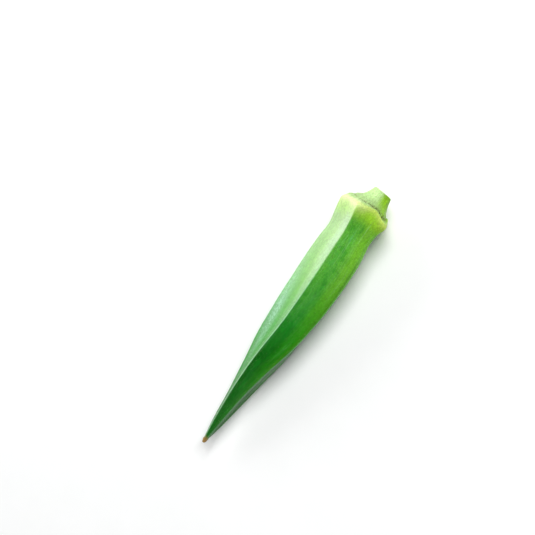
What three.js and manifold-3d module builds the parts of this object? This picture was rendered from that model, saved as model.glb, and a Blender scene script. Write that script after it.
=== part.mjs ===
// A fresh okra pod, cut from its plant and lying on a surface. Units are millimetres, +Z is up.
// The pod lies along X: its pointed beak towards -X, its shoulder and cut stalk towards +X.
// Capsule, receptacle cap and stalk grow as one body, so the pod is one solid.

import * as THREE from 'three';
import { mergeVertices } from 'three/addons/utils/BufferGeometryUtils.js';
import Module from 'manifold-3d';

const { degToRad, lerp, smoothstep } = THREE.MathUtils;

// ---- Driving dimensions ----

const RIDGES = 5; // ridges round the pod, one of them straight up
const SECTOR = (2 * Math.PI) / RIDGES; // angle from ridge to ridge
const BODY_LENGTH = 109.4; // beak tip to the widest line of the shoulder
const STALK_HEIGHT = 10.3; // shoulder line to the cut end of the stalk
const SHOULDER_RADIUS = 11.4; // to the ridges, at the widest line
const NECK_RADIUS = 9.45; // to the ridges, where the body is drawn in under the shoulder
const BELLY_RADIUS = 10.5; // to the ridges, at the fullest part of the body
const SCAR_RADIUS = 8.5; // ring left by the fallen calyx
const SCAR_HEIGHT = 2.6; // of that ring over the shoulder line
const CAP_HEIGHT = 6; // shoulder line to where the cap has become stalk
const STALK_RADIUS = 3.9; // at the cut

const SIDE_BOW = 1.7; // how far the body bows towards -Y
const BOW_BIAS = 1.85; // over 1 moves the bow's deepest point towards the shoulder
const STALK_LEAN = degToRad(10); // the stalk leans towards -Y from the shoulder's axis
const STALK_SHIFT = 0.9; // and stands this much to that side of the shoulder's middle
const LEAN_START = 0.5; // above the shoulder line, where lean and shift set in
const LEAN_END = 4.1;
const SHIFT_END = 5;
const AXIS_HEIGHT = 9.1; // height of the shoulder's middle over the surface
const AXIS_FALL = 0.023; // fall of the axis for each millimetre towards the beak
const BEAK_TWIST = degToRad(-26); // turn of the ridges in the beak, towards +Y
const TWIST_START = 15; // from here
const TWIST_END = 61; // to here that turn fades out

const RIB_HEIGHT = 0.3; // raised line along each ridge
const RIB_HALF_WIDTH = 0.75;
const RIB_RISE = 12; // from the tip, over which the ribs rise
const RIB_FADE = 4; // up to the shoulder line, over which ribs and swells fade
const SCAR_DEPTH = 0.22;
const SCAR_HALF_WIDTH = 0.45;
const SCALLOP = 1.2; // the rim stands this much nearer the stalk between the ridges
const SCALLOP_HALF_LENGTH = 2.6;
const STALK_RIB = 0.045; // soft ribs of the stalk, as a share of its radius
const STALK_RIB_HALF_WIDTH = degToRad(13);
const STALK_FLUTE = 0.3; // how far the stalk is drawn in between them, as a share of a rib

// How far each face swells (or is drawn in) at its middle. Face 0 is the one from the top
// ridge towards -Y, and they go on round the pod. Face 2 is the one it lies on.
const FACE_SWELL = [0.3, 0.2, -0.25, 0.25, 0.1];

// How far the five knobs of the shoulder differ from the mean, outwards and along the axis.
const KNOB_OUT = [0.1, 0.9, 0.0, 0.0, -0.45];
const KNOB_ALONG = [0.7, -1.5, 0.1, 0.7, 1.4];
const KNOB_HALF_LENGTH = [4.5, 4.2, 4.5, 4.5, 4.5]; // along the axis, where a knob is felt

const COLUMNS_PER_RIDGE = 12;
const COLUMN_CROWDING = 1.7; // over 1 draws the columns together at the ridges

const SKIN = { color: 0x6fb53f, roughness: 0.45, metalness: 0.0 };

// ---- Profile ----

// The pod's outline over a ridge: distance along the axis from the beak tip, radius, and the
// number of rings up to the next point.
const SHOULDER = BODY_LENGTH;
const OUTLINE = [
  [0.0, 0.5, 2], // dry tip
  [1.6, 0.85, 3],
  [9.0, 2.0, 5],
  [22.0, 3.85, 4],
  [34.0, 5.75, 4],
  [48.0, 8.15, 5],
  [64.0, 9.75, 5],
  [81.0, BELLY_RADIUS, 4],
  [92.0, 10.2, 3],
  [99.2, NECK_RADIUS, 3],
  [105.0, 10.4, 3],
  [SHOULDER - 0.4, SHOULDER_RADIUS, 2],
  [SHOULDER + 1.0, SHOULDER_RADIUS - 0.8, 2],
  [SHOULDER + 1.9, 9.7, 2],
  [SHOULDER + SCAR_HEIGHT, SCAR_RADIUS, 3],
  [SHOULDER + 3.7, 7.3, 2],
  [SHOULDER + 5.0, 5.95, 2],
  [SHOULDER + 6.8, 4.95, 2],
  [SHOULDER + 8.4, 4.4, 2],
  [SHOULDER + STALK_HEIGHT - 0.3, STALK_RADIUS, 1],
  [SHOULDER + STALK_HEIGHT, STALK_RADIUS - 0.35, 1], // edge of the cut
  [SHOULDER + STALK_HEIGHT + 0.05, 1.9, 1], // cut face
  [SHOULDER + STALK_HEIGHT - 0.25, 1.2, 0], // sunken pith
];

// How sharply the section is cut into faces along the pod: about 2 is round, 20 is crisp.
const SHARPNESS = [
  [0, 4],
  [6, 9],
  [20, 17],
  [96, 19],
  [SHOULDER, 14],
  [SHOULDER + SCAR_HEIGHT, 6],
  [SHOULDER + CAP_HEIGHT - 0.5, 3],
  [SHOULDER + STALK_HEIGHT, 2.6],
];

/** Straight-line value between the points of a list of [place, value] pairs. */
function along(points, place) {
  const next = points.findIndex(([at]) => at > place);
  if (next === 0) return points[0][1];
  if (next < 0) return points[points.length - 1][1];
  const [a, b] = [points[next - 1], points[next]];
  return lerp(a[1], b[1], (place - a[0]) / (b[0] - a[0]));
}

/** A rounded bump: 1 at its middle, fading to nothing a few half-widths away. */
function bump(distance, halfWidth) {
  return Math.exp(-((distance / halfWidth) ** 2));
}

/** The rings' places: [distance from the beak tip, ridge radius], on a curve through OUTLINE. */
function ringPlaces() {
  const points = OUTLINE.map(([place, radius]) => new THREE.Vector3(place, radius, 0));
  const curve = new THREE.CatmullRomCurve3(points, false, 'centripetal');
  const places = [];
  OUTLINE.forEach(([, , rings], i) => {
    for (let j = 0; j < rings; j++) {
      const p = curve.getPoint((i + j / rings) / (OUTLINE.length - 1));
      places.push([p.x, p.y]);
    }
  });
  const end = points[points.length - 1];
  places.push([end.x, end.y]);
  return places;
}

// ---- Section ----

/** Angles of the columns round the pod, crowded together at the ridges. */
function columnAngles() {
  const angles = [];
  for (let ridge = 0; ridge < RIDGES; ridge++) {
    for (let i = 0; i < COLUMNS_PER_RIDGE; i++) {
      const u = (2 * i) / COLUMNS_PER_RIDGE - 1;
      const away = Math.sign(u) * Math.abs(u) ** COLUMN_CROWDING;
      angles.push((ridge + away / 2) * SECTOR);
    }
  }
  return angles;
}

/**
 * Radius of the five-sided section at an angle from a ridge. Each face pulls the outline in to
 * its own plane, and the power blends neighbouring planes into a rounded ridge.
 */
function polygonRadius(angle, ridgeRadius, power) {
  const half = Math.PI / RIDGES;
  let sum = 0;
  for (let face = 0; face < RIDGES; face++) {
    sum += Math.max(0, Math.cos(angle - (2 * face + 1) * half)) ** power;
  }
  return (ridgeRadius * Math.cos(half) * 2 ** (1 / power)) / sum ** (1 / power);
}

/** Which ridge and face an angle belongs to, and its place from the ridge and across the face. */
function placeInSector(angle) {
  const turn = (angle + 2 * Math.PI) % (2 * Math.PI);
  const nearest = Math.round(turn / SECTOR);
  const face = Math.floor(turn / SECTOR) % RIDGES;
  return {
    ridge: nearest % RIDGES,
    fromRidge: turn - nearest * SECTOR,
    face,
    acrossFace: (2 * (turn - face * SECTOR)) / SECTOR - 1,
  };
}

/** How much of a ridge's knob is felt at a place: 1 where it is fullest, 0 between ridges. */
function knobShare(place, ridge, fromRidge) {
  return bump(place - SHOULDER, KNOB_HALF_LENGTH[ridge]) * Math.cos((fromRidge * RIDGES) / 2) ** 2;
}

/** Radius of the pod's skin at a distance from the beak tip and an angle round the axis. */
function skinRadius(place, ridgeRadius, angle) {
  const { ridge, fromRidge, face, acrossFace } = placeInSector(angle);
  const body = 1 - smoothstep(place, SHOULDER - RIB_FADE, SHOULDER);
  const cap = smoothstep(place, SHOULDER, SHOULDER + SCAR_HEIGHT);
  const stalk = smoothstep(place, SHOULDER + SCAR_HEIGHT, SHOULDER + CAP_HEIGHT);

  let radius = polygonRadius(angle, ridgeRadius, along(SHARPNESS, place));
  const risen = body * smoothstep(place, 0, RIB_RISE);
  radius += RIB_HEIGHT * bump(radius * fromRidge, RIB_HALF_WIDTH) * risen;
  radius += FACE_SWELL[face] * (1 - acrossFace ** 2) ** 2 * (ridgeRadius / BELLY_RADIUS) * body;
  radius += KNOB_OUT[ridge] * knobShare(place, ridge, fromRidge) * (1 - cap);
  radius -= SCAR_DEPTH * bump(place - (SHOULDER + SCAR_HEIGHT), SCAR_HALF_WIDTH);
  const stalkRib = bump(fromRidge, STALK_RIB_HALF_WIDTH) - STALK_FLUTE;
  radius += STALK_RIB * ridgeRadius * stalk * stalkRib;
  return radius;
}

/** How far the shoulder's rim wanders along the axis: it is scalloped, and each knob differs. */
function rimShift(place, angle) {
  const { ridge, fromRidge } = placeInSector(angle);
  const between = Math.sin((RIDGES * angle) / 2) ** 2;
  const scallop = SCALLOP * bump(place - SHOULDER, SCALLOP_HALF_LENGTH) * between;
  return scallop + KNOB_ALONG[ridge] * knobShare(place, ridge, fromRidge);
}

// ---- Spine ----

/** Sideways place of the axis at a distance from the beak tip. */
function sideBow(place) {
  return -SIDE_BOW * Math.sin(Math.PI * (place / BODY_LENGTH) ** BOW_BIAS);
}

/** Turn of the axis towards +Y at a distance from the beak tip: the slope of the bow. */
function bowTurn(place) {
  const share = place / BODY_LENGTH;
  const rate = (Math.PI * BOW_BIAS * share ** (BOW_BIAS - 1)) / BODY_LENGTH;
  return Math.atan(-SIDE_BOW * rate * Math.cos(Math.PI * share ** BOW_BIAS));
}

/** The matrix that carries a ring's flat section to its place on the bent axis. */
function ringFrame(place) {
  const onBody = Math.min(place, BODY_LENGTH);
  const past = place - onBody;
  const turn = bowTurn(onBody);
  const pitch = -Math.atan(AXIS_FALL);
  const lean = STALK_LEAN * smoothstep(past, LEAN_START, LEAN_END);
  const height = AXIS_HEIGHT - AXIS_FALL * (BODY_LENGTH - onBody);
  const stalk = new THREE.Vector3(past, -STALK_SHIFT * smoothstep(past, LEAN_START, SHIFT_END), 0);
  stalk.applyEuler(new THREE.Euler(0, pitch, turn - STALK_LEAN, 'ZYX'));
  const middle = new THREE.Vector3(onBody, sideBow(onBody), height).add(stalk);
  const section = new THREE.Euler(0, pitch, turn - lean, 'ZYX');
  return new THREE.Matrix4().makeRotationFromEuler(section).setPosition(middle);
}

// ---- Solid ----

/** The closed skin: rings of columns from the beak tip to the cut, with a point closing each end. */
function podGeometry() {
  const rings = ringPlaces();
  const angles = columnAngles();
  const columns = angles.length;
  const positions = [];
  const index = [];

  for (const [place, ridgeRadius] of rings) {
    const frame = ringFrame(place);
    const twist = BEAK_TWIST * (1 - smoothstep(place, TWIST_START, TWIST_END));
    for (const angle of angles) {
      const radius = skinRadius(place, ridgeRadius, angle);
      const point = new THREE.Vector3(
        rimShift(place, angle),
        -radius * Math.sin(angle + twist),
        radius * Math.cos(angle + twist),
      );
      positions.push(...point.applyMatrix4(frame).toArray());
    }
  }
  for (const [place] of [rings[0], rings[rings.length - 1]]) {
    positions.push(...new THREE.Vector3().applyMatrix4(ringFrame(place)).toArray());
  }

  const [tip, pith] = [rings.length * columns, rings.length * columns + 1];
  for (let j = 0; j < columns; j++) {
    const k = (j + 1) % columns;
    for (let i = 0; i < rings.length - 1; i++) {
      const [a, b] = [i * columns + j, i * columns + k];
      const [c, d] = [a + columns, b + columns];
      index.push(a, b, d, a, d, c);
    }
    const last = (rings.length - 1) * columns;
    index.push(tip, k, j, pith, last + j, last + k);
  }
  const geometry = new THREE.BufferGeometry();
  geometry.setAttribute('position', new THREE.Float32BufferAttribute(positions, 3));
  geometry.setIndex(index);
  return geometry;
}

const wasm = await Module();
wasm.setup();

/** The geometry as a solid that can be cut. */
function toSolid(geometry) {
  const bare = geometry.clone();
  bare.deleteAttribute('normal');
  bare.deleteAttribute('uv');
  const merged = mergeVertices(bare);
  return new wasm.Manifold(
    new wasm.Mesh({
      numProp: 3,
      vertProperties: new Float32Array(merged.attributes.position.array),
      triVerts: new Uint32Array(merged.index.array),
    }),
  );
}

/** The solid as a geometry again. */
function toGeometry(solid) {
  const { vertProperties, triVerts } = solid.getMesh();
  const geometry = new THREE.BufferGeometry();
  geometry.setAttribute('position', new THREE.BufferAttribute(vertProperties, 3));
  geometry.setIndex(new THREE.BufferAttribute(triVerts, 1));
  return geometry;
}

/** The pod with flats where it lies: the surface below z = 0 is cut away. */
function restingPod() {
  const depth = 20; // of the ground that is cut away
  const ground = new THREE.BoxGeometry(4 * BODY_LENGTH, 4 * BODY_LENGTH, depth);
  ground.translate(0, 0, -depth / 2);
  return toGeometry(toSolid(podGeometry()).subtract(toSolid(ground)));
}

/** The pod's mesh, with its origin on the surface under the middle of the pod. */
function okraPod() {
  const geometry = restingPod();
  geometry.computeBoundingBox();
  const middle = geometry.boundingBox.getCenter(new THREE.Vector3());
  geometry.translate(-middle.x, -middle.y, 0);
  geometry.computeVertexNormals();
  const mesh = new THREE.Mesh(geometry, new THREE.MeshStandardMaterial(SKIN));
  mesh.name = 'okra_pod';
  return mesh;
}

const pod = new THREE.Group();
pod.add(okraPod());

export default pod;
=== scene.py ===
"""A fresh okra pod, cut from its plant and lying on a pale studio floor.

Three pieces stand for the pod: its skin, the short down that grows on it, and the dry fibres left
in the ring where the calyx fell. The pod lies along X, its beak towards -X and its cut stalk
towards +X. Lengths are in millimetres until a mesh is made, and in metres from there on.
"""

import logging
import math
from dataclasses import dataclass
from enum import Enum
from typing import Any, Iterator, Mapping, Sequence

import bpy
import numpy as np
from mathutils import Matrix, Vector


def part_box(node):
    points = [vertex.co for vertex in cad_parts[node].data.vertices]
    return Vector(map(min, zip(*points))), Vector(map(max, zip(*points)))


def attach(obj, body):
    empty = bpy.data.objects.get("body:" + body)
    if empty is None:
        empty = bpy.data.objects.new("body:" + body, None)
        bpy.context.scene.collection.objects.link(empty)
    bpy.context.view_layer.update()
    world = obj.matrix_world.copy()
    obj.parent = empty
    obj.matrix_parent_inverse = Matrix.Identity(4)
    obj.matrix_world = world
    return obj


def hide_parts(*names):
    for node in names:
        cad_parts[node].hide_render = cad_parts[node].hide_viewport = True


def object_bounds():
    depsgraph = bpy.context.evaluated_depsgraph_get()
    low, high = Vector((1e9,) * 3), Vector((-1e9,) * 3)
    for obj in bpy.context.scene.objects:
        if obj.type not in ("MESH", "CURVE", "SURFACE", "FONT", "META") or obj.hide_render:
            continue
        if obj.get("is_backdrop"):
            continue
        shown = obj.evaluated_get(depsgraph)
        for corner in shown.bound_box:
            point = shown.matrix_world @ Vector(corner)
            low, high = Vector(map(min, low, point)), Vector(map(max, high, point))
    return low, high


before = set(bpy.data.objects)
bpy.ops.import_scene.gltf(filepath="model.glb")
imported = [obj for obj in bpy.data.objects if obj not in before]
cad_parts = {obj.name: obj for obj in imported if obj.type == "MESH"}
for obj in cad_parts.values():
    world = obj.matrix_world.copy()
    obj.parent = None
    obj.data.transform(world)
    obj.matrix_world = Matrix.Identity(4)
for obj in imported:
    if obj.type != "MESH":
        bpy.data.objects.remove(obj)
CAD_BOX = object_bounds()

NODE = "okra_pod"
BODY = "root"
MM = 0.001  # metres in a millimetre

Array = np.ndarray
Object = bpy.types.Object
Socket = bpy.types.NodeSocket
Span = tuple[float, float]  # the two ends of a stretch or of a range
Triple = tuple[float, float, float]
Colour = Triple
Layers = Iterator[tuple[Any, Any]]  # shares, and the colours laid over what is below

log = logging.getLogger("okra")


# ---- Small formulas ----


def bump(distance: Array, half_width: float) -> Array:
    """A rounded bump, exp(-(distance / half width) squared): 1 at its middle, then fading."""
    return np.exp(-((distance / half_width) ** 2))


def smoothstep(x: Array, low: float, high: float) -> Array:
    """A smooth step, t squared times (3 - 2 t) with t going from 0 at low to 1 at high."""
    t = np.clip((x - low) / (high - low), 0.0, 1.0)
    return t * t * (3.0 - 2.0 * t)


def unit(vectors: Array) -> Array:
    """The vectors at length 1, their three numbers last."""
    return vectors / np.linalg.norm(vectors, axis=-1, keepdims=True)


def catmull_rom(points: Array, at: Array) -> Array:
    """Places on a centripetal Catmull-Rom curve.

    Each stretch is a cubic between two points. Its slopes come from the points on either side,
    with the stretches timed by the square root of their lengths.

    Args:
        points: The curve's points, one a row.
        at: Where on the curve: 0 is the first point, 1 the second, and so on.

    Returns:
        One row for each value of at.
    """
    first = 2 * points[:1] - points[1:2]
    last = 2 * points[-1:] - points[-2:-1]
    padded = np.concatenate([first, points, last])
    stretch = np.clip(at.astype(int), 0, len(points) - 2)
    t = (at - stretch)[:, None]
    p0, p1, p2, p3 = (padded[stretch + i] for i in range(4))
    d0, d1, d2 = (
        np.sqrt(np.linalg.norm(b - a, axis=1, keepdims=True))
        for a, b in ((p0, p1), (p1, p2), (p2, p3))
    )
    slope1 = ((p1 - p0) / d0 - (p2 - p0) / (d0 + d1) + (p2 - p1) / d1) * d1
    slope2 = ((p2 - p1) / d1 - (p3 - p1) / (d1 + d2) + (p3 - p2) / d2) * d1
    square = -3 * p1 + 3 * p2 - 2 * slope1 - slope2
    cube = 2 * p1 - 2 * p2 + slope1 + slope2
    return p1 + slope1 * t + square * t**2 + cube * t**3


@dataclass(frozen=True)
class Waves:
    """A smooth, seeded unevenness of a surface that closes round an axis.

    Its height is the sum of sin(2 pi place / length + turns * angle + phase), over the square
    root of half their number, so that it is about 1 high whatever their number.
    """

    seed: int
    count: int
    lengths: Span  # shortest and longest wave along the axis
    turns: tuple[int, int]  # fewest and most waves round the axis

    def at(self, place: Array, angle: Array) -> Array:
        """The unevenness at places along the axis and angles round it.

        Args:
            place: Distance along the axis.
            angle: Angle round the axis.

        Returns:
            Heights of about -2 to 2, in the shape that place and angle make together.
        """
        draw = np.random.default_rng(self.seed)
        total = np.zeros(np.broadcast(place, angle).shape)
        for _ in range(self.count):
            length = math.exp(draw.uniform(*np.log(self.lengths)))
            turns = int(draw.integers(self.turns[0], self.turns[1] + 1)) * draw.choice((-1, 1))
            phase = draw.uniform(0, 2 * math.pi)
            total += np.sin(2 * math.pi * place / length + turns * angle + phase)
        return total / math.sqrt(self.count / 2)


# ---- The pod's form ----


@dataclass(frozen=True)
class Sector:
    """Where angles round the pod lie between its ridges."""

    ridge: Array  # number of the nearest ridge, 0 at the top
    from_ridge: Array  # angle from it
    face: Array  # number of the face, 0 from the top ridge towards -Y
    across: Array  # place across the face, -1 to 1


@dataclass(frozen=True)
class PodForm:
    """Sizes of the pod in millimetres, and the formulas of its surface.

    A point of the surface is named by its place, the distance from the beak's tip along the
    axis, and by its angle round the axis from the top ridge, positive towards -Y.
    """

    ridges: int = 5
    shoulder: float = 109.4  # beak tip to the widest line
    stalk_height: float = 10.3  # shoulder line to the cut
    shoulder_radius: float = 11.4
    neck_radius: float = 9.45
    belly_radius: float = 10.5
    scar_radius: float = 8.5  # ring left by the fallen calyx
    scar_height: float = 2.6
    stalk_radius: float = 3.9

    side_bow: float = 1.7  # how far the body bows towards -Y
    bow_bias: float = 1.85
    stalk_lean: float = math.radians(10)
    stalk_shift: float = 0.9
    lean_start: float = 0.5  # past the shoulder
    lean_end: float = 1.5  # past the scar
    shift_end: float = 5.0  # past the shoulder
    axis_height: float = 9.1  # of the shoulder's middle over the floor
    axis_fall: float = 0.023  # for each millimetre towards the beak
    beak_twist: float = math.radians(-26)  # of the ridges in the beak, towards +Y
    twist_start: float = 15.0
    twist_end: float = 61.0

    rib_height: float = 0.3
    rib_half_width: float = 0.75
    rib_rise: float = 12.0  # length in which the ribs rise from the tip
    body_fade: float = 4.0  # length in which ribs and swells fade at the shoulder
    scar_depth: float = 0.22
    scar_half_width: float = 0.45
    scallop: float = 1.2
    scallop_half_length: float = 2.6
    stalk_rib: float = 0.045  # share of the stalk's radius
    stalk_rib_half_width: float = math.radians(13)
    stalk_rib_mean: float = 0.3  # about the ribs' mean, so that the stalk keeps its radius
    stalk_start: float = 6.0  # past the shoulder

    face_swell: tuple[float, ...] = (0.3, 0.2, -0.25, 0.25, 0.1)
    knob_out: tuple[float, ...] = (0.1, 0.9, 0.0, 0.0, -0.45)
    knob_along: tuple[float, ...] = (0.7, -1.5, 0.1, 0.7, 1.4)
    knob_half_length: tuple[float, ...] = (4.5, 4.2, 4.5, 4.5, 4.5)
    cut_points: int = 4  # how many of the outline's last points lie in the cut

    @property
    def scar(self) -> float:
        """Place of the scar ring."""
        return self.shoulder + self.scar_height

    @property
    def cut(self) -> float:
        """Place of the cut end of the stalk."""
        return self.shoulder + self.stalk_height

    @property
    def cut_share(self) -> float:
        """Way along the outline, from 0 to 1, at which the cut end starts."""
        points = len(self.outline())
        return (points - self.cut_points) / (points - 1)

    def outline(self) -> Array:
        """The outline over a ridge, from the tip to the middle of the cut.

        Returns:
            Rows of place and radius, for a smooth curve.
        """
        shoulder, cut = self.shoulder, self.cut
        body = (
            (0.0, 0.5), (1.6, 0.85), (9.0, 2.0), (22.0, 3.85), (34.0, 5.75), (48.0, 8.15),
            (64.0, 9.75), (81.0, self.belly_radius), (92.0, 10.2), (99.2, self.neck_radius),
        )
        head = (
            (105.0, 10.4), (shoulder - 0.4, self.shoulder_radius),
            (shoulder + 1.0, self.shoulder_radius - 0.8), (shoulder + 1.9, 9.7),
            (self.scar, self.scar_radius), (shoulder + 3.7, 7.3), (shoulder + 5.0, 5.95),
            (shoulder + 6.8, 4.95), (shoulder + 8.4, 4.4), (cut - 0.3, self.stalk_radius),
        )
        rim = self.stalk_radius - 0.35
        end = ((cut, rim), (cut + 0.05, 1.9), (cut - 0.25, 1.2), (cut - 0.3, 0.2))
        return np.array(body + head + end)

    def sharpness(self, place: Array) -> Array:
        """How sharply the section is cut into faces: about 2 is round, 20 is crisp.

        Args:
            place: Distances from the tip.

        Returns:
            The power that blends neighbouring faces at each place, on straight lines between
            the points given here.
        """
        shoulder = self.shoulder
        places = (0.0, 6.0, 20.0, 96.0, shoulder, self.scar, shoulder + 5.5, self.cut)
        return np.interp(place, places, (4.0, 9.0, 17.0, 19.0, 14.0, 6.0, 3.0, 2.6))

    def sector(self, angle: Array) -> Sector:
        """Finds the ridge and the face that angles belong to.

        Args:
            angle: Angles round the axis.

        Returns:
            The sector's numbers, angles and places, one for each angle.
        """
        width = 2 * math.pi / self.ridges
        turn = np.mod(angle, 2 * math.pi)
        nearest = np.rint(turn / width).astype(int)
        face = np.floor(turn / width).astype(int) % self.ridges
        return Sector(
            ridge=nearest % self.ridges,
            from_ridge=turn - nearest * width,
            face=face,
            across=2 * (turn - face * width) / width - 1,
        )

    def polygon_radius(self, place: Array, ridge_radius: Array, angle: Array) -> Array:
        """Radius of the five-sided section.

        Each face pulls the outline in to its own plane: the radius is that of a plane's, divided
        by the power mean of the cosines of the angles to the faces' middles.

        Args:
            place: Distances from the tip.
            ridge_radius: Radius at the ridges there.
            angle: Angles round the axis.

        Returns:
            The section's radius at each place and angle.
        """
        half = math.pi / self.ridges
        power = self.sharpness(place)
        total = sum(
            np.clip(np.cos(angle - (2 * face + 1) * half), 0.0, None) ** power
            for face in range(self.ridges)
        )
        return ridge_radius * math.cos(half) * 2 ** (1 / power) / total ** (1 / power)

    def knob_share(self, place: Array, sector: Sector) -> Array:
        """How much of a shoulder knob is felt: a bump along the axis, squared cosine round it.

        Args:
            place: Distances from the tip.
            sector: The ridges and faces that the angles belong to.

        Returns:
            1 where the knob is fullest, 0 between the ridges.
        """
        across = np.cos(sector.from_ridge * self.ridges / 2) ** 2
        half_length = np.take(self.knob_half_length, sector.ridge)
        return bump((place - self.shoulder) / half_length, 1.0) * across

    def twist(self, place: Array) -> Array:
        """Turn of the ridges round the axis, fading out from the beak to the body."""
        return self.beak_twist * (1 - smoothstep(place, self.twist_start, self.twist_end))

    def skin_radius(self, place: Array, ridge_radius: Array, angle: Array) -> Array:
        """Radius of the solid's skin: the five-sided section with its ribs, swells and knobs.

        Args:
            place: Distances from the tip, one a row.
            ridge_radius: Radius of the outline there.
            angle: Angles round the axis, one a column.

        Returns:
            The radius at each place and angle.
        """
        sector = self.sector(angle)
        body = 1 - smoothstep(place, self.shoulder - self.body_fade, self.shoulder)
        stalk = smoothstep(place, self.scar, self.shoulder + self.stalk_start)
        radius = self.polygon_radius(place, ridge_radius, angle)
        rib = bump(radius * sector.from_ridge, self.rib_half_width)
        radius = radius + self.rib_height * rib * body * smoothstep(place, 0, self.rib_rise)
        swell = np.take(self.face_swell, sector.face) * (1 - sector.across**2) ** 2
        radius = radius + swell * (ridge_radius / self.belly_radius) * body
        cap = smoothstep(place, self.shoulder, self.scar)
        knob = self.knob_share(place, sector) * (1 - cap)
        radius = radius + np.take(self.knob_out, sector.ridge) * knob
        radius = radius - self.scar_depth * bump(place - self.scar, self.scar_half_width)
        stalk_rib = bump(sector.from_ridge, self.stalk_rib_half_width) - self.stalk_rib_mean
        return radius + self.stalk_rib * ridge_radius * stalk * stalk_rib

    def rim_shift(self, place: Array, angle: Array) -> Array:
        """How far the rim wanders along the axis: it is scalloped, and each knob differs.

        Args:
            place: Distances from the tip, one a row.
            angle: Angles round the axis, one a column.

        Returns:
            The shift towards the stalk at each place and angle.
        """
        sector = self.sector(angle)
        near = bump(place - self.shoulder, self.scallop_half_length)
        scallop = self.scallop * near * np.sin(self.ridges * angle / 2) ** 2
        knob = self.knob_share(place, sector)
        return scallop + np.take(self.knob_along, sector.ridge) * knob

    def bent(self, place: Array, local: Array) -> Array:
        """Carries points of flat sections to their places on the bent axis.

        The axis bows as a sine of the place's share of the body, raised to a power. It falls
        evenly towards the beak, and past the shoulder it leans and steps to one side.

        Args:
            place: Each section's distance from the tip, one a row.
            local: Points beside the axis, (sections, points, 3).

        Returns:
            The points in the pod's frame, in the shape of local.
        """
        on_body = np.minimum(place, self.shoulder)
        past = place - on_body
        share = on_body / self.shoulder
        rate = math.pi * self.bow_bias * share ** (self.bow_bias - 1) / self.shoulder
        turn = np.arctan(-self.side_bow * rate * np.cos(math.pi * share**self.bow_bias))
        pitch = -math.atan(self.axis_fall)
        lean = self.stalk_lean * smoothstep(past, self.lean_start, self.scar_height + self.lean_end)

        aside = -self.stalk_shift * smoothstep(past, self.lean_start, self.shift_end)
        stalk = np.stack([past, aside, np.zeros_like(past)], -1)
        stalk = turned(stalk, pitch, turn - self.stalk_lean)
        bow = -self.side_bow * np.sin(math.pi * share**self.bow_bias)
        height = self.axis_height - self.axis_fall * (self.shoulder - on_body)
        middle = np.stack([on_body, bow, height], -1) + stalk
        return middle + turned(local, pitch, turn - lean)


def turned(vectors: Array, pitch: float, turn: Array) -> Array:
    """Turns vectors by pitch round Y and then by turn round Z.

    Args:
        vectors: The vectors, their three numbers last.
        pitch: Angle round Y.
        turn: Angles round Z, one for each row.

    Returns:
        The turned vectors.
    """
    x = vectors[..., 0] * math.cos(pitch) + vectors[..., 2] * math.sin(pitch)
    z = vectors[..., 2] * math.cos(pitch) - vectors[..., 0] * math.sin(pitch)
    y = vectors[..., 1]
    cos, sin = np.cos(turn), np.sin(turn)
    return np.stack([x * cos - y * sin, x * sin + y * cos, z], -1)


# ---- The pod's skin ----


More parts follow.
